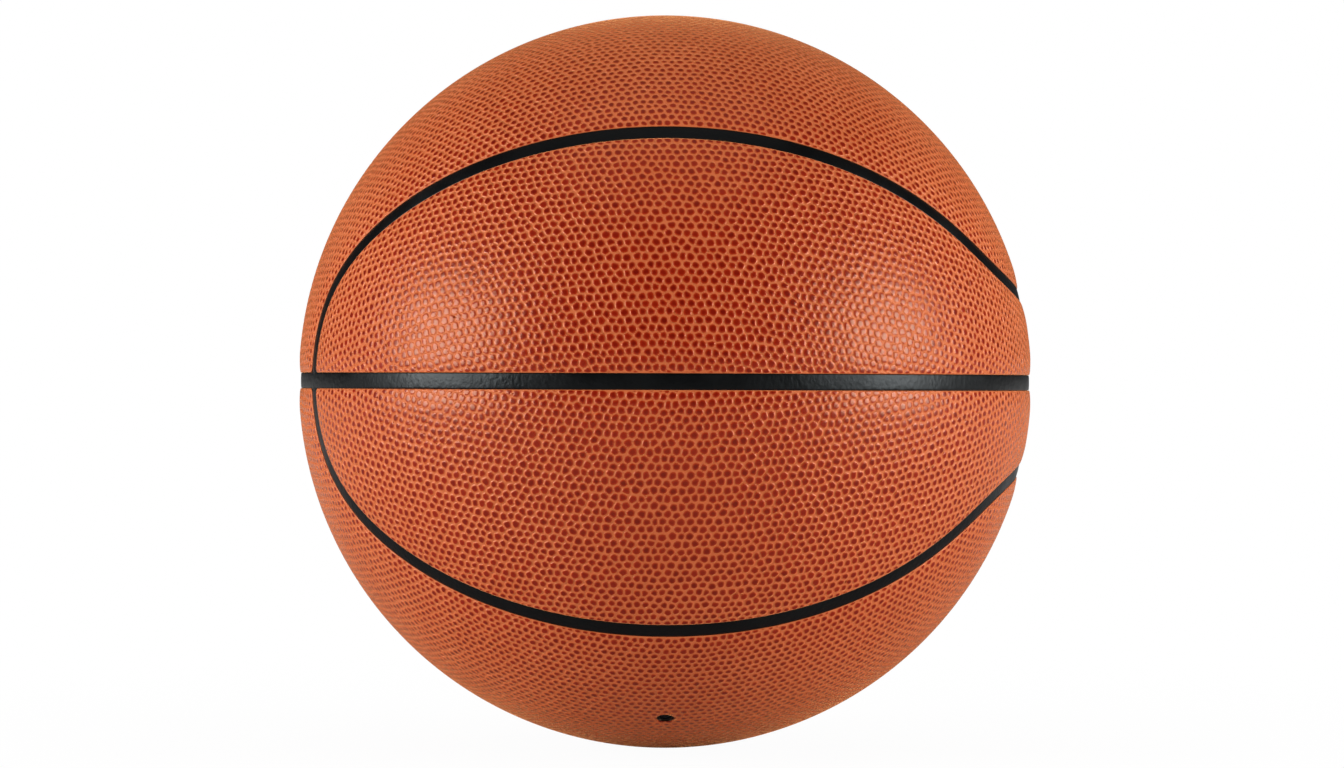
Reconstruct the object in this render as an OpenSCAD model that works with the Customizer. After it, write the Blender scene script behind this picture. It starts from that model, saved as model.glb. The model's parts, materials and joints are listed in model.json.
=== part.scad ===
// Basketball of laminated build, drawn from the inside out: a bladder with its valve, a wound
// thread layer, a moulded rubber carcass with raised seam ribs, and eight cover panels, each on its
// own soft backing, that fill the pockets between the ribs.
// +X and -X are the two points where the straight seams cross, -Y is the front and +Z the top.

/* [Ball] */
// Diameter over the crowns of the cover panels
ball_d = 238.5; // [230:0.5:245]

/* [Wall layers] */
// Thickness of the pebbled cover panels
cover_t = 1.6; // [1.2:0.1:2.4]
// Thickness of the soft backing under each cover panel
backing_t = 1.2; // [0.8:0.1:2]
// Thickness of the moulded rubber carcass
carcass_t = 1.5; // [1:0.1:2.5]
// Thickness of the wound thread layer
winding_t = 1; // [0.6:0.1:1.5]
// Thickness of the bladder wall
bladder_t = 1.2; // [0.8:0.1:2]

/* [Seams] */
// Width of the seam ribs
seam_w = 4.8; // [3:0.1:6.5]
// Depth of the rib crowns below the cover
seam_depth = 0.7; // [0.5:0.1:1.2]
// Distance along the surface from the left crossing to the curved seam, along the level seam
loop_gap = 41.5; // [36:0.5:47]
// Distance along the surface from the right crossing to the curved seam, along the upright seam
neck_gap = 28.3; // [25:0.1:32]

/* [Valve] */
// Distance along the surface from the upright seam to the valve axis
valve_offset = 58; // [50:1:64]
// Diameter of the hole in the cover and its backing
valve_hole_d = 5.6; // [5:0.1:7]
// Depth of the valve's end below the cover
valve_recess = 0.7; // [0.3:0.1:1]
// Diameter of the valve body where it passes through the carcass
stem_d = 8; // [7.5:0.5:10]
// Diameter of the valve body's flange inside the bladder
flange_d = 26; // [22:1:32]
// Thickness of the flange
flange_t = 1.4; // [1:0.1:2]
// Diameter of the valve body's neck inside the bladder
neck_d = 11; // [10:0.5:13]
// Length of that neck below the flange
neck_len = 6; // [5:0.5:9]
// Diameter of the insert's shank
insert_d = 3.8; // [3.4:0.1:4.2]
// Diameter of the insert's head
insert_head_d = 6.4; // [5.5:0.1:7.5]
// Height of the insert's head
insert_head_h = 2.5; // [1.5:0.1:3.5]
// Depth of the insert's outer end below the valve's end
insert_recess = 0.6; // [0.3:0.1:1]
// Diameter of the needle passage
needle_d = 2; // [1.8:0.1:2.4]
// Length of the closed slit at the inner end of the needle passage
slit_len = 2; // [1:0.5:3]

/* [Hidden] */
$fn = 96;
SIDES = ["front", "back"];
LEVELS = ["top", "bottom"];
BELTS = ["upper", "lower"];
CROWN_PANELS = [for (level = LEVELS) for (side = SIDES) str(level, "_", side)];
BELT_PANELS = [for (level = BELTS) for (side = SIDES) str("belt_", level, "_", side)];
PANELS = concat(CROWN_PANELS, BELT_PANELS);
COVERS = [for (p = PANELS) str("cover_", p)];
BACKINGS = [for (p = PANELS) str("backing_", p)];

// Radii of the faces where one layer meets the next
ball_r = ball_d / 2;
backing_r = ball_r - cover_t;
carcass_r = backing_r - backing_t;
winding_r = carcass_r - carcass_t;
bladder_r = winding_r - winding_t;
cavity_r = bladder_r - bladder_t;
rib_r = ball_r - seam_depth;
// Overrun of every cut
cut = 1;
// How far the panel cones reach, as a share of the ball's radius
cone_share = 2;

// The curved seam is one closed line on the ball. With t from 0 where it crosses the level seam to 90
// where it crosses the upright seam, its direction is
//   x = -(sum of the cosines of 2t and 6t), y = -(sum of the cosines of t, 3t and 5t) and
//   z = sum of the sines of t, 3t and 5t,
// each term by its share below, with y scaled to meet the loop gap and z to meet the neck gap.
run_shares = [1.31, -0.31];
loop_shares = [2.55, -1.4, -0.15];
neck_shares = [3.05, 1.53, -0.52];
// Degrees of t to either side over which the seam's run is taken
seam_probe = 0.2;
// Degrees of t that a panel's outline runs past the straight seams, and the points between
seam_over = 6;
seam_steps = 72;
// Degrees that a panel cone reaches past the straight seams, and its step there
lune_over = 8;
lune_step = 30;
// First and last turn of the line that closes a crown's outline, and of the one that closes a belt's
upright_turns = [160, -20];
level_turns = [190, 40];
// Directions inside a crown and inside a belt, from which their cones open, as shares of the radius
crown_shares = [0, -0.35, 1];
belt_shares = [0.12, -1, 0.35];

function turn_of(len) = len / ball_r * 180 / PI;
loop_sum = tan(turn_of(loop_gap));
neck_sum = tan(turn_of(neck_gap));
valve_turn = 180 - turn_of(valve_offset);

function unit(v) = v / norm(v);
function reversed(list) = [for (i = [len(list) - 1 : -1 : 0]) list[i]];
function seam_at(t) = unit([
    -run_shares * [cos(2 * t), cos(6 * t)],
    -loop_sum * (loop_shares * [cos(t), cos(3 * t), cos(5 * t)]),
    neck_sum * (neck_shares * [sin(t), sin(3 * t), sin(5 * t)])]);
function seam_run(t) = unit(seam_at(t + seam_probe) - seam_at(t - seam_probe));
// The edge of the seam: the seam moved sideways by half its width
function seam_edge(t, half_turn) =
    let (p = seam_at(t), side = unit(cross(p, seam_run(t))))
    p * cos(half_turn) + side * sin(half_turn);
function seam_line(half_turn) =
    [for (i = [0 : seam_steps]) seam_edge(-seam_over + i * (90 + 2 * seam_over) / seam_steps, half_turn)];
// Lines just past the upright seam and just past the level seam, that close a panel's outline
function upright_line() = [for (a = [upright_turns[0] : -lune_step : upright_turns[1]])
    [-cos(a) * cos(lune_over), sin(lune_over), sin(a) * cos(lune_over)]];
function level_line() = [for (a = [level_turns[0] : -lune_step : level_turns[1]])
    [-cos(a) * cos(lune_over), -sin(a) * cos(lune_over), -sin(lune_over)]];
half_turn = turn_of(seam_w / 2);
crown_middle = unit(crown_shares);
belt_middle = unit(belt_shares);

// A cone from the ball's centre over a closed outline of directions round a middle direction
module outline_cone(outline, middle) {
    n = len(outline);
    reach = cone_share * ball_r;
    points = concat([[0, 0, 0], middle * reach], [for (p = outline) p * reach]);
    sides = [for (i = [0 : n - 1]) [0, 2 + i, 2 + (i + 1) % n]];
    caps = [for (i = [0 : n - 1]) [1, 2 + (i + 1) % n, 2 + i]];
    polyhedron(points, concat(sides, caps));
}

// The quarter of space in front of the upright seam and above the level seam, clear of both ribs
module quarter() {
    reach = cone_share * ball_r;
    translate([-reach, -reach - seam_w / 2, seam_w / 2]) cube([2 * reach, reach, reach]);
}

// What one panel fills between two radii, by its number in PANELS, with the pockets between the ribs
// and the layers in them drawn by the same lines
module panel_zone(i, outer_r, inner_r) {
    crown = i < len(CROWN_PANELS);
    below = floor(i / 2) % 2;
    behind = i % 2;
    mirror([0, 0, below]) mirror([0, behind, 0]) difference() {
        intersection() {
            sphere(outer_r);
            if (crown) outline_cone(concat(seam_line(half_turn), upright_line()), crown_middle);
            else outline_cone(reversed(concat(seam_line(-half_turn), level_line())), belt_middle);
            quarter();
        }
        sphere(inner_r);
    }
}

module shell(outer_r, inner_r) {
    difference() {
        sphere(outer_r);
        sphere(inner_r);
    }
}

// Puts what it holds on the valve's axis, with +Z outward and the ball's centre at the origin
module on_valve_axis() {
    rotate([valve_turn, 0, 0]) children();
}

module valve_hole(d) {
    on_valve_axis() translate([0, 0, cavity_r - flange_d]) cylinder(d = d, h = ball_r);
}

// One panel layer between two radii, with the valve's hole where the layer has it
module panel_layer(i, outer_r, inner_r) {
    difference() {
        panel_zone(i, outer_r, inner_r);
        if (PANELS[i] == "bottom_front") valve_hole(valve_hole_d);
    }
}

module cover(i) {
    color([0.72, 0.30, 0.16]) panel_layer(i, ball_r, backing_r);
}

module backing(i) {
    color([0.20, 0.19, 0.18]) panel_layer(i, backing_r, carcass_r);
}

module rubber_carcass() {
    color([0.08, 0.08, 0.085]) difference() {
        sphere(rib_r);
        for (i = [0 : len(PANELS) - 1]) panel_zone(i, rib_r + cut, carcass_r);
        sphere(winding_r);
        valve_hole(stem_d);
    }
}

module thread_winding() {
    color([0.86, 0.84, 0.78]) difference() {
        shell(winding_r, bladder_r);
        valve_hole(stem_d);
    }
}

module bladder() {
    color([0.12, 0.12, 0.13]) difference() {
        shell(bladder_r, cavity_r);
        valve_hole(stem_d);
    }
}

// Rubber plug housing: a flange bonded to the inside of the bladder, a neck below it, a stem through
// the wall and a narrower nipple in the cover's hole
nipple_top = ball_r - valve_recess;
neck_bottom = cavity_r - flange_t - neck_len;
insert_top = nipple_top - insert_recess;
module valve_body() {
    color([0.10, 0.10, 0.11]) on_valve_axis() difference() {
        union() {
            intersection() {
                shell(cavity_r, cavity_r - flange_t);
                cylinder(d = flange_d, h = ball_r);
            }
            translate([0, 0, neck_bottom]) cylinder(d = neck_d, h = flange_t + neck_len - cut);
            intersection() {
                translate([0, 0, neck_bottom + cut]) cylinder(d = stem_d, h = ball_r);
                sphere(carcass_r);
            }
            translate([0, 0, neck_bottom + cut]) cylinder(d = valve_hole_d, h = nipple_top - neck_bottom - cut);
        }
        translate([0, 0, neck_bottom - cut]) cylinder(d = insert_d, h = ball_r);
        translate([0, 0, neck_bottom - cut]) cylinder(d = insert_head_d, h = insert_head_h + cut);
    }
}

// Self-sealing core: the needle passage ends in a closed slit at its inner end
module valve_insert() {
    color([0.16, 0.16, 0.17]) on_valve_axis() difference() {
        union() {
            translate([0, 0, neck_bottom]) cylinder(d = insert_head_d, h = insert_head_h);
            translate([0, 0, neck_bottom]) cylinder(d = insert_d, h = insert_top - neck_bottom);
        }
        translate([0, 0, neck_bottom + slit_len]) cylinder(d = needle_d, h = ball_r);
    }
}

bladder();
valve_body();
valve_insert();
thread_winding();
rubber_carcass();
for (i = [0 : len(PANELS) - 1]) backing(i);
for (i = [0 : len(PANELS) - 1]) cover(i);
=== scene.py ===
import json
import math

import bpy
import numpy as np
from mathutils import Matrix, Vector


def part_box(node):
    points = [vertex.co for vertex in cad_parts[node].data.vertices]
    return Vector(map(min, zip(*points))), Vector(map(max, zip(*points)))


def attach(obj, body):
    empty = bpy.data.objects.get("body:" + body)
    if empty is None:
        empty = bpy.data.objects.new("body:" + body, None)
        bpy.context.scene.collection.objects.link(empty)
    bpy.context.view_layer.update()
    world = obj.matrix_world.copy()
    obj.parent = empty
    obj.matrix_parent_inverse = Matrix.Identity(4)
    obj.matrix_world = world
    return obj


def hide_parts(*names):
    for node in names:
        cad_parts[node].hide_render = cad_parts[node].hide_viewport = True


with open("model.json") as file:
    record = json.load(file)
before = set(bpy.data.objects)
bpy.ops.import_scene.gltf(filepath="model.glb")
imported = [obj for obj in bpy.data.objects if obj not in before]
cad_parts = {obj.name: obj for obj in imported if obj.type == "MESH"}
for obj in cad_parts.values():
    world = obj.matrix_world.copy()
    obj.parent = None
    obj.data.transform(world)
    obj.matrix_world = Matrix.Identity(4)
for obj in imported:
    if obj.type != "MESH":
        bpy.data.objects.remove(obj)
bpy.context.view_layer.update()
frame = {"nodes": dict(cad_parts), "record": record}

# The camera looks at the front of the ball from a little over five ball diameters away, level
# with its middle, through a long lens, as a catalogue picture of a ball is taken.
ball_r = [-m["pos_m"][2] for m in frame["record"]["mounts"] if m["name"] == "floor_contact"][0]
camera_far = 10.5 * ball_r
camera_turn = math.radians(-0.5)
camera_roll = math.radians(-0.2)
photo_w = 1344
photo_right = -7
photo_up = 2.4
lens_px = 3828
sensor_mm = 36

camera_data = bpy.data.cameras.new("camera")
camera_data.sensor_width = sensor_mm
camera_data.lens = lens_px / photo_w * sensor_mm
camera_data.shift_x = -photo_right / photo_w
camera_data.shift_y = -photo_up / photo_w
camera = bpy.data.objects.new("camera", camera_data)
camera.location = (camera_far * math.sin(camera_turn), -camera_far * math.cos(camera_turn), 0)
camera.rotation_euler = (math.pi / 2, camera_roll, camera_turn)
bpy.context.scene.collection.objects.link(camera)
bpy.context.scene.camera = camera
bpy.context.scene.view_settings.view_transform = "Standard"


# The floor is a pale seamless sheet. Rays straight from the camera see it nearly white, with a soft
# part of the ball's shadow. The ball mirrors it darker, with a paler strip where it lies behind.
floor_half = 40
floor_matte = 0.86
floor_mirrored = 0.25
floor_glow_share = 0.96
shade_reach = 0.5
strip_start = ball_r
strip_full = 4 * ball_r
strip_share = 0.35


def shader(name):
    """An empty material and two short calls: one adds a node with its settings, one links sockets."""
    material = bpy.data.materials.new(name)
    material.use_nodes = True
    material.node_tree.nodes.clear()
    return material, *net_of(material.node_tree)


def net_of(tree):
    """The call that adds a node to a tree, with its sockets' values and its settings, and the call that
    links one socket to the next."""
    def add(kind, values=None, **settings):
        made = tree.nodes.new(kind)
        for key, value in settings.items():
            setattr(made, key, value)
        for socket, value in (values or {}).items():
            made.inputs[socket].default_value = value
        return made

    def link(start, end):
        tree.links.new(start, end)

    return add, link


def soft_step(add, values=None):
    """A soft rise from one value to another over a range of its input: 3 x x - 2 x x x."""
    return add("ShaderNodeMapRange", values, interpolation_type="SMOOTHSTEP")


floor_corners = [(-floor_half, -floor_half), (floor_half, -floor_half),
                 (floor_half, floor_half), (-floor_half, floor_half)]
floor_mesh = bpy.data.meshes.new("floor")
floor_mesh.from_pydata([(x, y, -ball_r) for x, y in floor_corners], [], [(0, 1, 2, 3)])
floor = bpy.data.objects.new("floor", floor_mesh)
bpy.context.scene.collection.objects.link(floor)
floor_material, add, link = shader("pale_floor")
matte = add("ShaderNodeBsdfDiffuse")
glow = add("ShaderNodeEmission", {"Color": (1, 1, 1, 1)})
path = add("ShaderNodeLightPath")
where = add("ShaderNodeTexCoord")
mirrored = add("ShaderNodeMath", operation="MAXIMUM")
paleness = add("ShaderNodeMapRange", {"To Min": floor_matte, "To Max": floor_mirrored})
depth = add("ShaderNodeSeparateXYZ")
strip = soft_step(add, {"From Min": strip_start, "From Max": strip_full, "To Max": strip_share})
mirrored_strip = add("ShaderNodeMath", operation="MULTIPLY")
through = add("ShaderNodeMath", operation="MAXIMUM")
away = add("ShaderNodeVectorMath", operation="LENGTH")
fade = soft_step(add, {"From Max": shade_reach, "To Min": floor_glow_share, "To Max": 1})
seen = add("ShaderNodeMath", operation="MULTIPLY")
blend = add("ShaderNodeMixShader")
output = add("ShaderNodeOutputMaterial")
link(path.outputs["Is Glossy Ray"], mirrored.inputs[0])
link(path.outputs["Is Transmission Ray"], mirrored.inputs[1])
link(mirrored.outputs[0], paleness.inputs["Value"])
link(paleness.outputs["Result"], matte.inputs["Color"])
link(where.outputs["Object"], depth.inputs[0])
link(depth.outputs["Y"], strip.inputs["Value"])
link(mirrored.outputs[0], mirrored_strip.inputs[0])
link(strip.outputs["Result"], mirrored_strip.inputs[1])
link(path.outputs["Is Camera Ray"], through.inputs[0])
link(mirrored_strip.outputs[0], through.inputs[1])
link(where.outputs["Object"], away.inputs[0])
link(away.outputs["Value"], fade.inputs["Value"])
link(through.outputs[0], seen.inputs[0])
link(fade.outputs["Result"], seen.inputs[1])
link(seen.outputs[0], blend.inputs["Fac"])
link(matte.outputs[0], blend.inputs[1])
link(glow.outputs[0], blend.inputs[2])
link(blend.outputs[0], output.inputs["Surface"])
floor_mesh.materials.append(floor_material)


# Two softboxes stand left and right of the ball, a little in front of it, and a wide one hangs above.
# The room is dim towards the camera, pale beside and behind the ball and white overhead, and the ball
# mirrors it far darker. To the camera itself it is plain white.
box_far = 1.6
box_turn = math.radians(70)
box_high = 0.12
box_size = (0.95, 1.1)
box_watts = 28
top_place = (0, -0.35, 1.5)
top_size = (1.4, 1.4)
top_watts = 1.4
room_levels = {"front": 0.1, "side": 0.5, "back": 0.55, "ceiling_share": 1.45}
mirror_levels = {"front": 0.003, "side": 0.03, "back": 0.08, "ceiling_share": 0.2}
side_step = {"From Min": -0.85, "From Max": -0.2}
back_step = {"From Min": 0.8, "From Max": 0.97}
ceiling_step = {"From Min": 0.15, "From Max": 0.8}


def softbox(name, place, size, watts):
    """A rectangular lamp at a place, turned to the ball's centre."""
    lamp = bpy.data.lights.new(name, "AREA")
    lamp.shape = "RECTANGLE"
    lamp.size, lamp.size_y = size
    lamp.energy = watts
    holder = bpy.data.objects.new(name, lamp)
    holder.location = place
    holder.rotation_euler = (-holder.location).to_track_quat("-Z", "Y").to_euler()
    bpy.context.scene.collection.objects.link(holder)


for side_name, side in (("left", -1), ("right", 1)):
    place = (side * box_far * math.sin(box_turn), -box_far * math.cos(box_turn), box_high)
    softbox("softbox_" + side_name, place, box_size, box_watts)
softbox("softbox_top", top_place, top_size, top_watts)

world = bpy.data.worlds.new("white_room")
bpy.context.scene.world = world
world.use_nodes = True
world.node_tree.nodes.clear()
add, link = net_of(world.node_tree)
ray = add("ShaderNodeTexCoord")
split = add("ShaderNodeSeparateXYZ")
link(ray.outputs["Generated"], split.inputs[0])
path = add("ShaderNodeLightPath")


def room_light(front, side, back, ceiling_share):
    """Strength of the room by direction: one level towards the front, one to the sides and one straight
    back, with soft steps between them, and a share of each overhead."""
    room = soft_step(add, {**side_step, "To Min": front, "To Max": side})
    far = soft_step(add, {**back_step, "To Max": back - side})
    ceiling = soft_step(add, {**ceiling_step, "To Min": 1, "To Max": ceiling_share})
    level = add("ShaderNodeMath", operation="ADD")
    both = add("ShaderNodeMath", operation="MULTIPLY")
    link(split.outputs["Y"], room.inputs["Value"])
    link(split.outputs["Y"], far.inputs["Value"])
    link(split.outputs["Z"], ceiling.inputs["Value"])
    link(room.outputs["Result"], level.inputs[0])
    link(far.outputs["Result"], level.inputs[1])
    link(level.outputs[0], both.inputs[0])
    link(ceiling.outputs["Result"], both.inputs[1])
    return both.outputs[0]


mirrored = add("ShaderNodeMath", operation="MAXIMUM")
chosen = add("ShaderNodeMix", data_type="FLOAT")
white = add("ShaderNodeMath", operation="MAXIMUM")
sky = add("ShaderNodeBackground", {"Color": (1, 1, 1, 1)})
output = add("ShaderNodeOutputWorld")
link(path.outputs["Is Glossy Ray"], mirrored.inputs[0])
link(path.outputs["Is Transmission Ray"], mirrored.inputs[1])
link(mirrored.outputs[0], chosen.inputs["Factor"])
link(room_light(**room_levels), chosen.inputs["A"])
link(room_light(**mirror_levels), chosen.inputs["B"])
link(chosen.outputs["Result"], white.inputs[0])
link(path.outputs["Is Camera Ray"], white.inputs[1])
link(white.outputs[0], sky.inputs["Strength"])
link(sky.outputs[0], output.inputs["Surface"])


# The bladder is a hollow ball of butyl rubber, moulded and vulcanised in one piece. It keeps its
# place in the middle of the wall and shows only through the valve's hole.
bladder_black = (0.022, 0.022, 0.025, 1)
bladder_dust = (0.16, 0.155, 0.15, 1)
cloud_scale = 60
speck_scale = 1500
rubber_grain_scale = 700
cloud_range = {"From Min": 0.35, "From Max": 0.7}
speck_range = {"From Min": 0.58, "From Max": 0.72}
cloud_rough = 0.16
rubber_bump = 0.5
rubber_tint = (0.88, 0.97, 1, 1)


def rubber_skin():
    """Node group for moulded rubber: powder lies in soft clouds, thicker in the specks within them. The
    powder's share is the cloud plus the cloud times the speck, times how powdered the piece is. A cloud
    adds its share to the roughness, and the height is a fine grain."""
    group = bpy.data.node_groups.new("rubber_skin", "ShaderNodeTree")
    group.interface.new_socket("Rubber", in_out="INPUT", socket_type="NodeSocketColor")
    group.interface.new_socket("Powder", in_out="INPUT", socket_type="NodeSocketColor")
    group.interface.new_socket("Powdered", in_out="INPUT", socket_type="NodeSocketFloat")
    group.interface.new_socket("Base Roughness", in_out="INPUT", socket_type="NodeSocketFloat")
    group.interface.new_socket("Color", in_out="OUTPUT", socket_type="NodeSocketColor")
    group.interface.new_socket("Roughness", in_out="OUTPUT", socket_type="NodeSocketFloat")
    group.interface.new_socket("Height", in_out="OUTPUT", socket_type="NodeSocketFloat")
    add, link = net_of(group)
    given = add("NodeGroupInput")
    given_back = add("NodeGroupOutput")
    where = add("ShaderNodeTexCoord")
    clouds = add("ShaderNodeTexNoise", {"Scale": cloud_scale, "Detail": 5})
    specks = add("ShaderNodeTexNoise", {"Scale": speck_scale, "Detail": 3})
    grain = add("ShaderNodeTexNoise", {"Scale": rubber_grain_scale, "Detail": 6})
    speck_mask = add("ShaderNodeMapRange", speck_range)
    powder = add("ShaderNodeMath", operation="MULTIPLY")
    cloud_mask = add("ShaderNodeMapRange", cloud_range)
    either = add("ShaderNodeMath", operation="ADD")
    weighed = add("ShaderNodeMath", operation="MULTIPLY")
    mixed = add("ShaderNodeMix", data_type="RGBA")
    drift = add("ShaderNodeMath", {1: cloud_rough}, operation="MULTIPLY_ADD")
    for texture in (clouds, specks, grain):
        link(where.outputs["Object"], texture.inputs["Vector"])
    link(specks.outputs["Fac"], speck_mask.inputs["Value"])
    link(clouds.outputs["Fac"], cloud_mask.inputs["Value"])
    link(speck_mask.outputs["Result"], powder.inputs[0])
    link(cloud_mask.outputs["Result"], powder.inputs[1])
    link(powder.outputs[0], either.inputs[0])
    link(cloud_mask.outputs["Result"], either.inputs[1])
    link(either.outputs[0], weighed.inputs[0])
    link(given.outputs["Powdered"], weighed.inputs[1])
    link(weighed.outputs[0], mixed.inputs["Factor"])
    link(given.outputs["Rubber"], mixed.inputs["A"])
    link(given.outputs["Powder"], mixed.inputs["B"])
    link(mixed.outputs["Result"], given_back.inputs["Color"])
    link(cloud_mask.outputs["Result"], drift.inputs[0])
    link(given.outputs["Base Roughness"], drift.inputs[2])
    link(drift.outputs[0], given_back.inputs["Roughness"])
    link(grain.outputs["Fac"], given_back.inputs["Height"])
    return group


rubber_group = rubber_skin()


def rubber_material(name, rubber, powder, powdered, base_rough, relief, mirror=0.5):
    """Moulded rubber: the shared skin's colour, roughness and height on one Principled shader. The base
    roughness is that between the clouds, and the relief the height of the grain."""
    material, add, link = shader(name)
    skin = add("ShaderNodeGroup", {
        "Rubber": rubber, "Powder": powder, "Powdered": powdered, "Base Roughness": base_rough
    }, node_tree=rubber_group)
    bump = add("ShaderNodeBump", {"Strength": rubber_bump, "Distance": relief})
    surface = add("ShaderNodeBsdfPrincipled", {
        "Specular IOR Level": mirror, "Specular Tint": rubber_tint
    })
    output = add("ShaderNodeOutputMaterial")
    link(skin.outputs["Color"], surface.inputs["Base Color"])
    link(skin.outputs["Roughness"], surface.inputs["Roughness"])
    link(skin.outputs["Height"], bump.inputs["Height"])
    link(bump.outputs["Normal"], surface.inputs["Normal"])
    link(surface.outputs[0], output.inputs["Surface"])
    return material


def dress(node, material):
    """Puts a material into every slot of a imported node's object."""
    for place in frame["nodes"][node].material_slots:
        place.material = material


butyl = rubber_material(
    "butyl_rubber", bladder_black, bladder_dust, powdered=0.35, base_rough=0.38, relief=0.0002)
dress("bladder", butyl)


# The valve is a rubber plug housing bonded into the bladder, with a self-sealing core pressed into
# it. Only its outer end shows, sunk a little below the cover, with the hole for the needle.
valve_black = (0.004, 0.004, 0.0045, 1)
core_black = (0.02, 0.02, 0.022, 1)
valve_powder = (0.03, 0.029, 0.028, 1)

housing_rubber = rubber_material(
    "valve_rubber", valve_black, valve_powder, powdered=0.25, base_rough=0.45, relief=0.0001)
core_rubber = rubber_material(
    "core_rubber", core_black, valve_powder, powdered=0.2, base_rough=0.5, relief=0.0001)
dress("valve_body", housing_rubber)
dress("valve_insert", core_rubber)


# The winding is nylon thread, run round the bladder in every direction and glued down, so its
# surface is a net of fine crossing strands.
thread_pale = (0.74, 0.7, 0.6, 1)
# Colour of the low places between strands: painted shade
thread_shade = (0.33, 0.3, 0.24, 1)
thread_pitch = 0.0007
band_pitch = 0.314
thread_turns = ((20, 35, 10), (-50, 15, 75), (75, -30, 40))


def thread_material():
    """Three families of parallel strands, each a wave across one turned axis, laid one over the other: the
    height is the greatest of the three waves, and the colour follows the height, pale on top and darker low
    down as painted shade between the strands. A wave's scale is the pitch of the bands at scale one, divided
    by the strands' pitch."""
    material, add, link = shader("nylon_thread")
    where = add("ShaderNodeTexCoord")
    top = None
    for turn in thread_turns:
        turned = add("ShaderNodeMapping", {"Rotation": [math.radians(a) for a in turn]})
        strands = add("ShaderNodeTexWave", {
            "Scale": band_pitch / thread_pitch, "Distortion": 0.6
        }, bands_direction="X")
        link(where.outputs["Object"], turned.inputs["Vector"])
        link(turned.outputs["Vector"], strands.inputs["Vector"])
        if top is None:
            top = strands.outputs["Fac"]
            continue
        higher = add("ShaderNodeMath", operation="MAXIMUM")
        link(top, higher.inputs[0])
        link(strands.outputs["Fac"], higher.inputs[1])
        top = higher.outputs[0]
    mixed = add("ShaderNodeMix", {"A": thread_shade, "B": thread_pale}, data_type="RGBA")
    bump = add("ShaderNodeBump", {"Distance": thread_pitch / 2})
    surface = add("ShaderNodeBsdfPrincipled", {"Roughness": 0.6, "Sheen Weight": 0.3})
    output = add("ShaderNodeOutputMaterial")
    link(top, mixed.inputs["Factor"])
    link(mixed.outputs["Result"], surface.inputs["Base Color"])
    link(top, bump.inputs["Height"])
    link(bump.outputs["Normal"], surface.inputs["Normal"])
    link(surface.outputs[0], output.inputs["Surface"])
    return material


dress("thread_winding", thread_material())


# The carcass is one moulded shell of black rubber over the winding. Its raised ribs are the seams
# that show: one level round the ball, one upright, and one that bows over both. Where ribs cross,
# the second and the third lie a hair lower than the one before, so that no two crowns share a face.
seam_w = 0.0048
loop_gap = 0.0415
neck_gap = 0.0283
run_shares = np.array([1.31, -0.31])
loop_shares = np.array([2.55, -1.4, -0.15])
neck_shares = np.array([3.05, 1.53, -0.52])
cover_t = 0.0016
backing_t = 0.0012
carcass_r = ball_r - cover_t - backing_t
carcass_in_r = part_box("thread_winding")[1].x
rib_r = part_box("rubber_carcass")[1].x
stem_r = 0.004
valve_axis = np.array([m["axis"] for m in frame["record"]["mounts"] if m["name"] == "needle_passage"][0])
rib_black = (0.0025, 0.0026, 0.0028, 1)
rib_powder = (0.012, 0.0125, 0.013, 1)
rib_across = np.array([-1, -1, -0.97, -0.9, -0.78, -0.4, 0, 0.4, 0.78, 0.9, 0.97, 1, 1])
rib_drop = np.array([2.2, 0.16, 0.09, 0.06, 0.04, 0.01, 0, 0.01, 0.04, 0.06, 0.09, 0.16, 2.2]) / 1000
rib_layer = 0.00002
straight_points = 900
bow_points = 1800
seam_probe = 0.002
shell_rows = 90
shell_columns = 180
pole_gap = 0.02


def unit(v):
    """Each row of v as a direction of length one."""
    return v / np.linalg.norm(v, axis=-1, keepdims=True)


def seam(t):
    """Direction of the curved seam at t radians: x = -(sum of the cosines of 2t and 6t), y = -(sum of the
    cosines of t, 3t and 5t) and z = sum of the sines of t, 3t and 5t, scaled to meet the two gaps."""
    t = np.asarray(t, float)[..., None]
    odd = np.array([1, 3, 5]) * t
    x = -(np.cos(np.array([2, 6]) * t) @ run_shares)
    y = -math.tan(loop_gap / ball_r) * (np.cos(odd) @ loop_shares)
    z = math.tan(neck_gap / ball_r) * (np.sin(odd) @ neck_shares)
    return unit(np.stack([x, y, z], axis=-1))


def seam_frame(t):
    """The seam's direction at t, the direction it runs in, from two places a small probe apart, and the
    direction square to both, towards the top."""
    point = seam(t)
    run = unit(seam(t + seam_probe) - seam(t - seam_probe))
    return point, run, unit(np.cross(point, run))


def new_piece(name, points, triangles, attributes=None):
    """A smooth mesh object from whole arrays of points and triangles, with any values held at its points."""
    mesh = bpy.data.meshes.new(name)
    mesh.vertices.add(len(points))
    mesh.vertices.foreach_set("co", np.asarray(points, np.float32).ravel())
    mesh.loops.add(triangles.size)
    mesh.loops.foreach_set("vertex_index", np.asarray(triangles, np.int32).ravel())
    mesh.polygons.add(len(triangles))
    mesh.polygons.foreach_set("loop_start", np.arange(0, triangles.size, 3, dtype=np.int32))
    mesh.polygons.foreach_set("use_smooth", np.ones(len(triangles), bool))
    for key, values in (attributes or {}).items():
        held = mesh.attributes.new(key, "FLOAT", "POINT")
        held.data.foreach_set("value", np.asarray(values, np.float32))
    mesh.update(calc_edges=True)
    piece = bpy.data.objects.new(name, mesh)
    bpy.context.scene.collection.objects.link(piece)
    return piece


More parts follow.
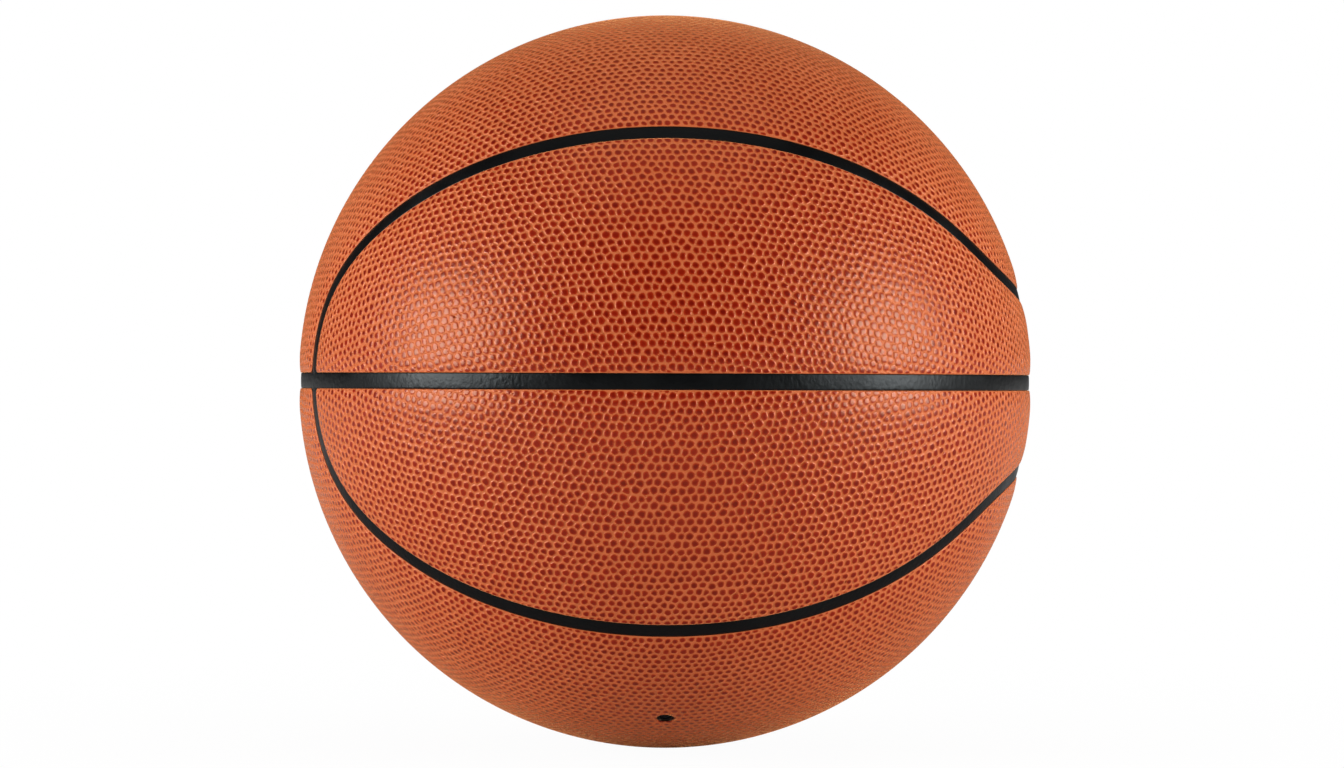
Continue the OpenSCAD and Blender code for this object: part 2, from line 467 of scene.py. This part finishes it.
def ring_net(rows, columns):
    """Triangles of a net of rows by columns of points that closes on itself both ways, row after row."""
    r, c = np.meshgrid(np.arange(rows), np.arange(columns), indexing="ij")
    here = r * columns + c
    right = r * columns + (c + 1) % columns
    below = (r + 1) % rows * columns + c
    across = (r + 1) % rows * columns + (c + 1) % columns
    halves = [np.stack([here, below, across], -1), np.stack([here, across, right], -1)]
    return np.concatenate(halves).reshape(-1, 3)


def rib(middle, side, top_r):
    """A closed band along a line on the ball: a profile of points, each at a share of the half width along
    the side direction and at a drop below the top radius, carried along the line. The top is crowned and
    its shoulders round."""
    turn = rib_across * seam_w / 2 / ball_r
    lines = middle[:, None] * np.cos(turn)[None, :, None] + side[:, None] * np.sin(turn)[None, :, None]
    return (lines * (top_r - rib_drop)[None, :, None]).reshape(-1, 3), len(middle), len(rib_across)


around = np.linspace(0, 2 * np.pi, straight_points, endpoint=False)
flat = np.zeros_like(around)
level_line = np.stack([-np.cos(around), -np.sin(around), flat], -1)
upright_line = np.stack([-np.cos(around), flat, np.sin(around)], -1)
level_side = np.broadcast_to([0, 0, 1.0], level_line.shape)
upright_side = np.broadcast_to([0, -1.0, 0], upright_line.shape)
bow_line, _, bow_side = seam_frame(np.linspace(0, 2 * np.pi, bow_points, endpoint=False))


def carcass_shell():
    """Two spheres, latitude by longitude about the valve's axis, joined at one pole by the wall of the
    valve's hole and at the far pole by that of a small hole, which lies hidden inside the ball's wall."""
    far_end = np.pi - pole_gap
    outer = np.linspace(math.asin(stem_r / carcass_r), far_end, shell_rows)
    inner = np.linspace(far_end, math.asin(stem_r / carcass_in_r), shell_rows)
    tilt = np.concatenate([outer, inner])
    radius = np.concatenate([np.full(shell_rows, carcass_r), np.full(shell_rows, carcass_in_r)])
    e1 = unit(np.cross(valve_axis, [1.0, 0, 0]))
    e2 = np.cross(valve_axis, e1)
    spin = np.linspace(0, 2 * np.pi, shell_columns, endpoint=False)
    ring = np.cos(spin)[:, None] * e1 + np.sin(spin)[:, None] * e2
    points = np.sin(tilt)[:, None, None] * ring + np.cos(tilt)[:, None, None] * valve_axis
    return (points * radius[:, None, None]).reshape(-1, 3), 2 * shell_rows, shell_columns


carcass_parts = [
    carcass_shell(),
    rib(level_line, level_side, rib_r),
    rib(upright_line, upright_side, rib_r - rib_layer),
    rib(bow_line, bow_side, rib_r - 2 * rib_layer),
]
starts = np.cumsum([0] + [len(p) for p, _, _ in carcass_parts])
carcass_points = np.concatenate([p for p, _, _ in carcass_parts])
carcass_triangles = np.concatenate([ring_net(r, c) + s for (_, r, c), s in zip(carcass_parts, starts)])
carcass = new_piece("rubber_carcass_ribs", carcass_points, carcass_triangles)
seam_rubber = rubber_material(
    "seam_rubber", rib_black, rib_powder, powdered=0.15, base_rough=0.28, relief=0.0003, mirror=0.25)
carcass.data.materials.append(seam_rubber)
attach(carcass, "root")
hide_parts("rubber_carcass")


# Each cover panel lies on a soft backing of foamed rubber on a woven cloth, cut to the same
# outline and glued into its pocket. It stays under the cover.
# backing_dark colours the low places of the weave: painted shade
backing_dark = (0.03, 0.028, 0.026, 1)
backing_pale = (0.1, 0.095, 0.09, 1)
backing_pitch = 0.0006


def backing_material():
    """Plain weave: two waves at right angles, whose product gives the height, and the height the colour,
    darker low down as painted shade between the yarns.
    """
    material, add, link = shader("backing_cloth")
    where = add("ShaderNodeTexCoord")
    waves = []
    for direction in ("X", "Z"):
        yarn = add("ShaderNodeTexWave", {
            "Scale": band_pitch / backing_pitch, "Distortion": 0.4
        }, bands_direction=direction)
        link(where.outputs["Object"], yarn.inputs["Vector"])
        waves.append(yarn)
    crossed = add("ShaderNodeMath", operation="MULTIPLY")
    mixed = add("ShaderNodeMix", {"A": backing_dark, "B": backing_pale}, data_type="RGBA")
    bump = add("ShaderNodeBump", {"Distance": backing_pitch / 3})
    surface = add("ShaderNodeBsdfPrincipled", {"Roughness": 0.85, "Sheen Weight": 0.2})
    output = add("ShaderNodeOutputMaterial")
    link(waves[0].outputs["Fac"], crossed.inputs[0])
    link(waves[1].outputs["Fac"], crossed.inputs[1])
    link(crossed.outputs[0], mixed.inputs["Factor"])
    link(mixed.outputs["Result"], surface.inputs["Base Color"])
    link(crossed.outputs[0], bump.inputs["Height"])
    link(bump.outputs["Normal"], surface.inputs["Normal"])
    link(surface.outputs[0], output.inputs["Surface"])
    return material


cloth = backing_material()
for name in sorted(frame["nodes"]):
    if name.startswith("backing_"):
        dress(name, cloth)


# The cover is eight panels of composite leather, pebbled in the press and glued side by side
# between the ribs, their edges pressed down and rounded. One of them has the valve's hole.
edge_gap = 0.00012
panel_offset = (seam_w / 2 + edge_gap) / ball_r
corner_r = 0.0018
valve_hole_r = 0.0028
# Radius of the face by distance from the edge: a gentle roll, then a small round
roll_drop = 0.0005
roll_reach = 0.0075
edge_round = 0.0005
edge_share = 0.35
rim_share = 0.25
# Step of the net, its rows of points beside the edges and its count between them, and the rings of
# the underside towards the hub
net_step = {"crown": 0.00053, "belt": 0.00047}
edge_rows = np.array([0, 0.1, 0.25, 0.45, 0.75]) / 1000
column_span = 1000
under_rings = (0, 0.15, 0.35, 0.6, 0.85)
hubs = {"crown": valve_axis * np.array([1, 1, -1]), "belt": unit(np.array([0.12, -1, 0.35]))}
# How densely and how far past the straight seams the curved seam is followed, in radians
line_points = 6000
line_over = 0.1
foot_points = 800
foot_steps = 8
foot_probe = 0.005
foot_over = 0.15
# Pebbles: their lattice, their dome, and how they fade out beside the edges
panel_middle = {"crown": math.radians(65), "belt": math.radians(20)}
pebble_pitch = 0.0027
pebble_row = 0.00245
lattice_side = 211
lattice_shake = 0.19
lattice_weight = 0.1
nearby = (-2, -1, 0, 1, 2)
pebble_high = 0.00022
web_half = 0.00004
ramp = 0.00036
dome_power = 3
dome_shares = {"border": 0.6, "middle": 0.4}
snap_reach = 0.00024
pebble_core = 0.001
calm_reach = 0.0009
calm_rise = 0.7
core_reach = 0.0005
rim_rise = 0.8
# Colours and finish of the leather, with painted reflection and painted shade
# Web and top colours are partly the leather's own red and partly painted reflection: the web painted lighter
# for the side lamps its slopes catch, the deep middles of the tops painted darker for the dark front they
# mirror
web_orange = {"A": (0.55, 0.105, 0.025, 1), "B": (0.65, 0.155, 0.048, 1)}
pebble_red = {"A": (0.4, 0.03, 0.006, 1)}
pebble_deep = {"A": (0.26, 0.008, 0.001, 1), "B": (0.17, 0.003, 0.0005, 1)}
# Painted shade: near black on the panels' walls and underside and on the valve hole's wall
painted_wall_shade = {"B": (0.012, 0.007, 0.005, 1)}
top_range = {"From Min": 0.06, "From Max": 0.34}
inward_range = {"From Min": 0.25, "From Max": 0.85}
wall_range = {"From Max": 0.15}
# Painted reflection: where the red of the tops begins, shrinking as the face is seen more aslant
painted_reflection_least = 0.06
painted_reflection_slant = 0.6
painted_reflection_wide = 0.3
leather_rough = {"To Min": 0.5, "To Max": 0.24}
mottle_scale = 45
leather_grain_scale = 2200
leather_grain_share = 0.05
leather_bump = {"Strength": 0.4, "Distance": 0.0003}
leather_shine = {
    "Specular IOR Level": 0.8, "Specular Tint": (1, 0.58, 0.38, 1), "Sheen Weight": 0.9,
    "Sheen Roughness": 0.27, "Sheen Tint": (1, 0.44, 0.16, 1)
}


def along(line, shares):
    """Directions at shares of a line's length, between its dense points."""
    run = np.concatenate([[0], np.cumsum(np.linalg.norm(np.diff(line, axis=0), axis=1))])
    return unit(np.stack([np.interp(shares, run / run[-1], line[:, k]) for k in range(3)], -1))


def panel_lines(kind):
    """The panel's two long edges, dense. The curved one runs a fixed way beside the curved seam, from the
    level seam's edge to the upright seam's edge, and the straight one along a straight seam's edge."""
    t = np.linspace(-line_over, np.pi / 2 + line_over, line_points)
    point, _, side = seam_frame(t)
    toward = 1 if kind == "crown" else -1
    curve = point * math.cos(panel_offset) + toward * side * math.sin(panel_offset)
    inside = (curve[:, 2] > math.sin(panel_offset)) & (curve[:, 1] < -math.sin(panel_offset))
    curve = curve[inside]
    if kind == "crown":
        last = math.atan2(curve[-1, 2], -curve[-1, 0])
        a = np.linspace(panel_offset, last, line_points)
        straight = np.stack([-np.cos(a) * math.cos(panel_offset), np.full_like(a, -math.sin(panel_offset)),
                             np.sin(a) * math.cos(panel_offset)], -1)
        return curve, straight
    first = math.atan2(-curve[0, 1], -curve[0, 0])
    a = np.linspace(first, np.pi - panel_offset, line_points)
    straight = np.stack([-np.cos(a) * math.cos(panel_offset), -np.sin(a) * math.cos(panel_offset),
                         np.full_like(a, math.sin(panel_offset))], -1)
    return straight, curve


def stitch(a, b, a_at, b_at):
    """Triangles between two lines of points a and b, whose places along the strip are a_at and b_at: each
    stretch of one line joins the point of the other that its middle faces."""
    a_mid = (a_at[1:] + a_at[:-1]) / 2
    b_mid = (b_at[1:] + b_at[:-1]) / 2
    facing_b = b[np.searchsorted(b_mid, a_mid, side="left")]
    facing_a = a[np.searchsorted(a_mid, b_mid, side="right")]
    return np.concatenate([np.stack([a[:-1], facing_b, a[1:]], -1), np.stack([facing_a, b[:-1], b[1:]], -1)])


def band(a, b):
    """Triangles between two closed lines of equally many points."""
    a2 = np.roll(a, -1)
    b2 = np.roll(b, -1)
    return np.concatenate([np.stack([a, b, b2], -1), np.stack([a, b2, a2], -1)])


def panel_net(kind):
    """Directions and triangles of a panel's face, its outline, and where along the panel each point lies.
    Columns run from the lower long edge to the upper one on great circles, each with as many points as its
    width asks. In a column the rows of an edge count one each and what lies between them a fixed span."""
    lines = panel_lines(kind)
    length = max(np.linalg.norm(np.diff(line, axis=0), axis=1).sum() for line in lines) * ball_r
    step = net_step[kind]
    last = len(edge_rows) - 1
    even = np.arange(edge_rows[-1] + step, length - step / 2, step)
    shares = np.concatenate([edge_rows, even]) / length
    shares = shares[shares < 1 - step / 3 / length]
    if kind == "belt":
        shares = 1 - shares[::-1]
    low, high = (along(line, shares) for line in lines)
    width = np.arccos(np.clip((low * high).sum(-1), -1, 1)) * ball_r
    columns = []
    places = []
    for w in width:
        edge = edge_rows * min(1, w / (2 * edge_rows[-1] + 2 * step))
        count = max(1, round((w - 2 * edge[-1]) / step))
        middle = np.linspace(edge[-1], w - edge[-1], count + 1)[1:-1]
        columns.append(np.concatenate([edge, middle, w - edge[::-1]]) / w)
        inner = np.linspace(0, 1, count + 1)[1:-1] * column_span
        far_edge = last + column_span + np.arange(last + 1)
        places.append(np.concatenate([np.arange(last + 1), last + inner, far_edge]))
    sizes = np.array([len(c) for c in columns])
    starts = np.concatenate([[0], np.cumsum(sizes)])
    column = np.repeat(np.arange(len(sizes)), sizes)
    u = np.concatenate(columns)[:, None]
    angle = (width / ball_r)[column][:, None]
    points = (low[column] * np.sin((1 - u) * angle) + high[column] * np.sin(u * angle)) / np.sin(angle)
    ids = [np.arange(start, end) for start, end in zip(starts[:-1], starts[1:])]
    strips = [stitch(*pair) for pair in zip(ids[:-1], ids[1:], places[:-1], places[1:])]
    triangles = np.concatenate(strips)
    outline = np.concatenate([starts[:-1], ids[-1][1:-1], (starts[1:] - 1)[::-1], ids[0][1:-1][::-1]])
    return unit(points), triangles, outline, shares[column]


def edge_distances(points, share):
    """How far each point lies from the level, the upright and the curved edge of its panel, and the
    directions square to them into the panel. The foot on the curved seam is found by a few Newton steps
    from a guess."""
    table = np.linspace(0, np.pi / 2, foot_points)
    steps = np.linalg.norm(np.diff(seam(table), axis=0), axis=1)
    run = np.concatenate([[0], np.cumsum(steps)])
    t = np.interp(share * run[-1], run, table)
    for _ in range(foot_steps):
        foot = seam(t)
        rate = (seam(t + foot_probe) - seam(t - foot_probe)) / (2 * foot_probe)
        t = t + ((points - foot) * rate).sum(-1) / (rate * rate).sum(-1)
        t = np.clip(t, -foot_over, np.pi / 2 + foot_over)
    foot, _, side = seam_frame(t)
    off = np.arctan2((points * side).sum(-1), (points * foot).sum(-1))
    toward = np.sign(np.median(off))
    level = np.arcsin(points[:, 2]) - panel_offset
    upright = np.arcsin(-points[:, 1]) - panel_offset
    curved = toward * off - panel_offset
    up = np.broadcast_to([0, 0, 1.0], points.shape)
    front = np.broadcast_to([0, -1.0, 0], points.shape)
    return [(level * ball_r, up), (upright * ball_r, front), (curved * ball_r, toward * side)]


def round_corners(points, edges, radius):
    """Rounds the corners where two edges meet. With x and y the shares of the radius by which a point is
    nearer to each edge, x goes to x root(1 - y y / 2) and y to y root(1 - x x / 2), which turns a square
    into a disc. Gives the moved points and each point's distance to the rounded outline."""
    nearest = np.minimum(np.minimum(edges[0][0], edges[1][0]), edges[2][0])
    moved = points.copy()
    for (d1, n1), (d2, n2) in ((edges[0], edges[1]), (edges[0], edges[2]), (edges[1], edges[2])):
        x = np.clip((radius - d1) / radius, 0, 1)
        y = np.clip((radius - d2) / radius, 0, 1)
        round_x = x * np.sqrt(1 - y * y / 2)
        round_y = y * np.sqrt(1 - x * x / 2)
        moved += (n1 * (x - round_x)[:, None] + n2 * (y - round_y)[:, None]) * radius / ball_r
        both = (x > 0) & (y > 0)
        nearest = np.where(both, radius * (1 - np.hypot(round_x, round_y)), nearest)
    return unit(moved), np.maximum(nearest, 0)


def pebbles(points, kind, seed):
    """Each point's height share, how far in on its pebble it lies, the pebble's tone, its distance to the
    pebble's border, and the shift that takes it there. The ball's middle line through the panel is unrolled
    without changing angles. On that map pebbles stand on a shaken lattice of staggered rows, each with its
    own size. The distance to the border, mixed with that to the pebble's middle, is the depth. The height
    share is one less the cube of what the depth, as a share of the ramp, leaves of one."""
    middle = panel_middle[kind]
    out = np.array([0, -math.cos(middle), math.sin(middle)])
    aside = np.array([0, -math.sin(middle), -math.cos(middle)])
    u = np.arctan2(points[:, 0], points @ out) * ball_r
    v = np.arctanh(np.clip(points @ aside, -0.99, 0.99)) * ball_r
    rng = np.random.default_rng(seed)
    side = lattice_side
    shake = rng.uniform(-1, 1, (side, side, 2)) * lattice_shake * pebble_pitch
    weight = rng.normal(0, lattice_weight, (side, side)) * (pebble_pitch / 2) ** 2
    tone = rng.uniform(0, 1, (side, side))
    row = np.floor(v / pebble_row).astype(int)
    near_cost = np.full(len(points), np.inf)
    cells = []
    for dr in nearby:
        r = row + dr
        col = np.round(u / pebble_pitch - 0.5 * (r % 2)).astype(int)
        for dc in nearby:
            c = col + dc
            spot = (r % side, c % side)
            jitter = shake[spot]
            cu = (c + 0.5 * (r % 2)) * pebble_pitch + jitter[:, 0]
            cv = (r + 0.5) * pebble_row + jitter[:, 1]
            cost = (u - cu) ** 2 + (v - cv) ** 2 - weight[spot]
            cells.append((cu, cv, cost, tone[spot]))
            near_cost = np.minimum(near_cost, cost)
    own_u, own_v, own_tone = (np.zeros(len(points)) for _ in range(3))
    for cu, cv, cost, shade in cells:
        mine = cost == near_cost
        own_u[mine], own_v[mine], own_tone[mine] = cu[mine], cv[mine], shade[mine]
    border = np.full(len(points), np.inf)
    over_u, over_v = np.zeros(len(points)), np.zeros(len(points))
    for cu, cv, cost, _ in cells:
        apart = np.maximum(np.hypot(cu - own_u, cv - own_v), pebble_pitch / 100)
        gap = np.where(apart > pebble_pitch / 50, (cost - near_cost) / (2 * apart), np.inf)
        nearer = gap < border
        border = np.where(nearer, gap, border)
        over_u = np.where(nearer, (cu - own_u) / apart, over_u)
        over_v = np.where(nearer, (cv - own_v) / apart, over_v)
    from_middle = np.hypot(u - own_u, v - own_v)
    inside = pebble_pitch / 2 - from_middle
    depth = np.minimum(border, dome_shares["border"] * border + dome_shares["middle"] * inside)
    rise = np.clip((depth - web_half) / ramp, 0, 1)
    core = np.clip(depth / pebble_core, 0, 1)
    scale = np.cos(np.arcsin(np.clip(points @ aside, -1, 1)))[:, None]
    east = unit(np.cross(points, np.cross([1.0, 0, 0], out)))
    north = np.cross(east, points)
    north = north * np.sign(north @ aside)[:, None]
    shift = (over_u[:, None] * east + over_v[:, None] * north) * (border[:, None] * scale)
    return 1 - (1 - rise) ** dome_power, core, own_tone, border, shift


def leather_material():
    """Coated composite leather. Held values give how far in on a pebble a point lies, the pebble's own tone,
    and whether the point lies on the panel's wall. Tops are deep red and glossy and the net between them
    orange. These colours are partly the leather's own and partly painted reflection: the net is painted
    lighter for the side lamps its slopes catch, and the tops' middles deeper for the dark front they mirror.
    The wall is painted nearly black, as painted shade in the seam's groove and the valve's hole. The red
    begins at a least height plus a share of how far the face is seen aslant, so that it shrinks to the
    pebbles' middles towards the ball's outline: a painted reflection that changes with the view."""
    material, add, link = shader("pebbled_leather")
    pebble = add("ShaderNodeAttribute", attribute_name="pebble")
    tone = add("ShaderNodeAttribute", attribute_name="tone")
    wall = add("ShaderNodeAttribute", attribute_name="wall")
    where = add("ShaderNodeTexCoord")
    mottle = add("ShaderNodeTexNoise", {"Scale": mottle_scale, "Detail": 4})
    grain = add("ShaderNodeTexNoise", {"Scale": leather_grain_scale, "Detail": 3})
    # Painted reflection that follows the view: the red of the tops shrinks where the face is seen aslant
    aslant = add("ShaderNodeLayerWeight")
    painted_reflection_from = add("ShaderNodeMath", {1: painted_reflection_slant, 2: painted_reflection_least}, operation="MULTIPLY_ADD")
    painted_reflection_to = add("ShaderNodeMath", {1: painted_reflection_wide}, operation="ADD")
    painted_reflection = soft_step(add)
    mask = soft_step(add, top_range)
    inward = soft_step(add, inward_range)
    in_wall = soft_step(add, wall_range)
    # Web, tops and the tops' deep middles: the leather's own colour with painted reflection
    web = add("ShaderNodeMix", web_orange, data_type="RGBA")
    deep = add("ShaderNodeMix", pebble_deep, data_type="RGBA")
    top = add("ShaderNodeMix", pebble_red, data_type="RGBA")
    color = add("ShaderNodeMix", data_type="RGBA")
    # Painted shade on the walls: the seam's groove and the valve's hole go nearly black
    with_wall_shade = add("ShaderNodeMix", painted_wall_shade, data_type="RGBA")
    rough = add("ShaderNodeMapRange", leather_rough)
    relief = add("ShaderNodeMath", {1: leather_grain_share}, operation="MULTIPLY_ADD")
    bump = add("ShaderNodeBump", leather_bump)
    surface = add("ShaderNodeBsdfPrincipled", leather_shine)
    output = add("ShaderNodeOutputMaterial")
    for texture in (mottle, grain):
        link(where.outputs["Object"], texture.inputs["Vector"])
    for step in (painted_reflection, mask, inward):
        link(pebble.outputs["Fac"], step.inputs["Value"])
    link(aslant.outputs["Facing"], painted_reflection_from.inputs[0])
    link(painted_reflection_from.outputs[0], painted_reflection_to.inputs[0])
    link(painted_reflection_from.outputs[0], painted_reflection.inputs["From Min"])
    link(painted_reflection_to.outputs[0], painted_reflection.inputs["From Max"])
    link(mottle.outputs["Fac"], web.inputs["Factor"])
    link(tone.outputs["Fac"], deep.inputs["Factor"])
    link(inward.outputs["Result"], top.inputs["Factor"])
    link(deep.outputs["Result"], top.inputs["B"])
    link(painted_reflection.outputs["Result"], color.inputs["Factor"])
    link(web.outputs["Result"], color.inputs["A"])
    link(top.outputs["Result"], color.inputs["B"])
    link(wall.outputs["Fac"], in_wall.inputs["Value"])
    link(in_wall.outputs["Result"], with_wall_shade.inputs["Factor"])
    link(color.outputs["Result"], with_wall_shade.inputs["A"])
    link(with_wall_shade.outputs["Result"], surface.inputs["Base Color"])
    link(mask.outputs["Result"], rough.inputs["Value"])
    link(rough.outputs["Result"], surface.inputs["Roughness"])
    link(grain.outputs["Fac"], relief.inputs[0])
    link(mask.outputs["Result"], relief.inputs[2])
    link(relief.outputs[0], bump.inputs["Height"])
    link(bump.outputs["Normal"], surface.inputs["Normal"])
    link(surface.outputs[0], output.inputs["Surface"])
    return material


def ring_order(points, axis):
    """Turn of each point about an axis, and the order that sorts them by it."""
    e1 = unit(np.cross(axis, [1.0, 0, 0]))
    e2 = np.cross(axis, e1)
    turn = np.arctan2(points @ e2, points @ e1)
    return turn, np.argsort(turn)


def panel_shell(kind, with_hole, seed):
    """A closed panel: the pebbled face, whose radius falls towards the outline first gently, by the square
    of how near it is, and then in a small round, a wall down from the outline, and a plain underside in
    rings towards a hub. Points close to a pebble's border are first moved onto it, so that the grooves run
    clean. The valve's hole has the hub as its axis, and a round and a wall of its own."""
    points, face, outline, edges_flat = nets[kind]
    hub = hubs[kind]
    _, _, _, border, shift = pebbles(points, kind, seed)
    into_groove = (border < snap_reach) & (edges_flat > 2 * snap_reach)
    points = unit(points + shift / ball_r * into_groove[:, None])
    rise, core, tone, _, _ = pebbles(points, kind, seed)
    calm = np.clip(edges_flat / calm_reach, 0, 1)
    gentle = np.clip(1 - edges_flat / roll_reach, 0, 1)
    tight = np.clip(1 - edges_flat / edge_round, 0, 1)
    fall = roll_drop * gentle ** 2 + edge_round * edge_share * (1 - np.sqrt(1 - tight ** 2))
    rise = rise * calm + calm_rise * (1 - calm)
    core = core * np.clip(edges_flat / core_reach, 0, 1)
    bottom_r = ball_r - cover_t
    loop = points[outline]
    turn, order = ring_order(loop, hub)
    away = np.arccos(np.clip(loop @ hub, -1, 1))
    if with_hole:
        from_axis = np.arccos(np.clip(points @ hub, -1, 1)) * ball_r
        middle_in = from_axis[face].mean(1) < valve_hole_r
        face = face[~middle_in]
        near = face[(from_axis[face] < 2 * valve_hole_r).any(1)]
        sides = np.sort(np.concatenate([near[:, [0, 1]], near[:, [1, 2]], near[:, [2, 0]]]), axis=1)
        once, times = np.unique(sides, axis=0, return_counts=True)
        rim = np.unique(once[times == 1])
        rim = rim[np.abs(from_axis[rim] - valve_hole_r) < net_step[kind]]
        points = points.copy()
        outward = unit(points[rim] - hub * (points[rim] @ hub)[:, None])
        points[rim] = hub * math.cos(valve_hole_r / ball_r) + outward * math.sin(valve_hole_r / ball_r)
        rim_fall = np.clip(1 - (from_axis - valve_hole_r) / edge_round, 0, 1)
        rim_fall[rim] = 1
        fall = fall + edge_round * rim_share * (1 - np.sqrt(1 - rim_fall ** 2))
        rimmed = np.maximum(rise, rim_rise) * (1 - rim_fall) + rim_rise * rim_fall
        rise = np.where(rim_fall > 0, rimmed, rise)
    top = points * (ball_r - fall - pebble_high * (1 - rise))[:, None]
    under = []
    angle = away[:, None]
    for share in under_rings:
        towards = (loop * np.sin((1 - share) * angle) + hub * np.sin(share * angle)) / np.sin(angle)
        under.append(unit(towards) * bottom_r)
    base = len(top)
    count = len(loop)
    lines = [outline] + [base + k * count + np.arange(count) for k in range(len(under_rings))]
    walls = [band(upper, lower) for upper, lower in zip(lines[:-1], lines[1:])]
    extra = [top] + under
    after = base + count * len(under_rings)
    inner = lines[-1]
    if with_hole:
        rim_turn, rim_order = ring_order(points[rim], hub)
        upper = rim[rim_order]
        lower = after + np.arange(len(upper))
        extra.append(points[upper] * bottom_r)
        walls.append(band(lower, upper))
        inner_ids = inner[order]
        closed_a = np.append(inner_ids, inner_ids[0])
        closed_b = np.append(lower, lower[0])
        a_at = np.append(turn[order], turn[order][0] + 2 * np.pi)
        b_at = np.append(rim_turn[rim_order], rim_turn[rim_order][0] + 2 * np.pi)
        walls.append(stitch(closed_a, closed_b, a_at, b_at))
    else:
        extra.append(hub[None] * bottom_r)
        walls.append(np.stack([inner, np.full(count, after), np.roll(inner, -1)], -1))
    shell = np.concatenate(extra)
    triangles = np.concatenate([face] + walls)
    held = np.zeros(len(shell) - base)
    used, renamed = np.unique(triangles, return_inverse=True)
    # The wall value is one on the walls and underside, where the leather paints its shade
    values = {"pebble": np.concatenate([core, held]), "tone": np.concatenate([tone, held]),
              "wall": np.concatenate([np.zeros(base), held + 1])}
    return shell[used], renamed.reshape(-1, 3), {key: value[used] for key, value in values.items()}


nets = {}
for kind in ("crown", "belt"):
    directions, face, outline, share = panel_net(kind)
    directions, to_edge = round_corners(directions, edge_distances(directions, share), corner_r)
    nets[kind] = (directions, face, outline, to_edge)

leather = leather_material()
seed = 11
for kind, levels in (("crown", ("top", "bottom")), ("belt", ("belt_upper", "belt_lower"))):
    for lower, level in enumerate(levels):
        for rear, side_name in enumerate(("front", "back")):
            node = "cover_" + level + "_" + side_name
            seed += 1
            points, triangles, values = panel_shell(kind, node == "cover_bottom_front", seed)
            points = points * np.array([1, 1 - 2 * rear, 1 - 2 * lower])
            if lower != rear:
                triangles = triangles[:, ::-1]
            panel = new_piece(node + "_pebbled", points, triangles, values)
            panel.data.materials.append(leather)
            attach(panel, "root")
            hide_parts(node)
